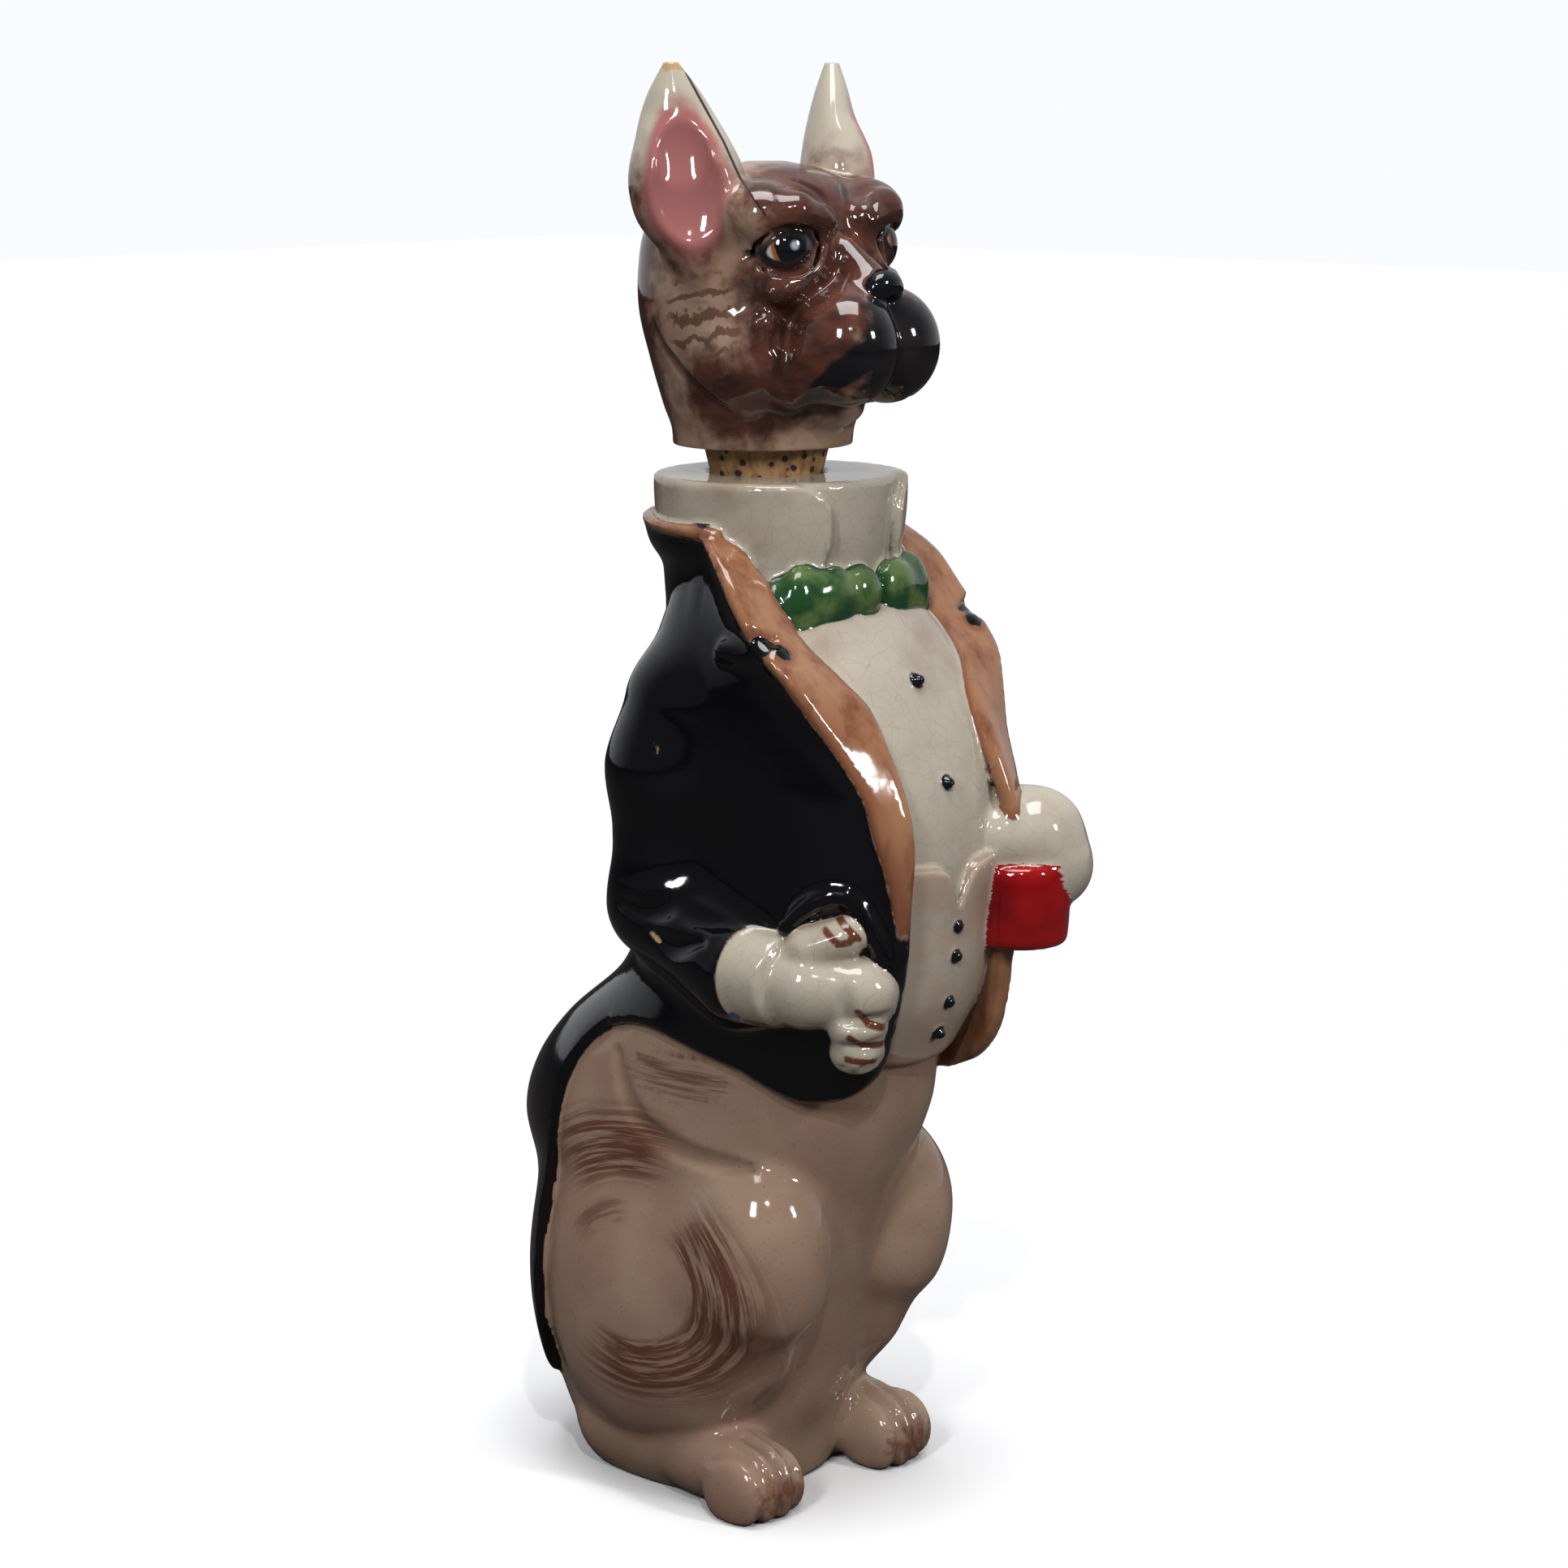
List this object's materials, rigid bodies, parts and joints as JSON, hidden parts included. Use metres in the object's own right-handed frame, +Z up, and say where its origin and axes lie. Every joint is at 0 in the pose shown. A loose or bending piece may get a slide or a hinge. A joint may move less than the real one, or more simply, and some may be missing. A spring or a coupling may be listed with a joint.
{
  "type": "figural decanter",
  "caption": "Hollow glazed earthenware decanter in the form of a seated dog in a tail coat, its head the stopper on a tapered cork.",
  "frame": {"origin": "on the surface it stands on, below the middle of the bottle's mouth", "axes": "+Z up; the dog faces -Y, its left hand with the cup is at +X"},
  "size_m": [0.0727, 0.1105, 0.2676],
  "materials": {
    "glazed_bottle": "gloss",
    "glazed_head": "gloss",
    "cork": "matt"
  },
  "bodies": {
    "root": {"bottle": "glazed_bottle", "head": "glazed_head", "cork": "cork"}
  },
  "joints": []
}
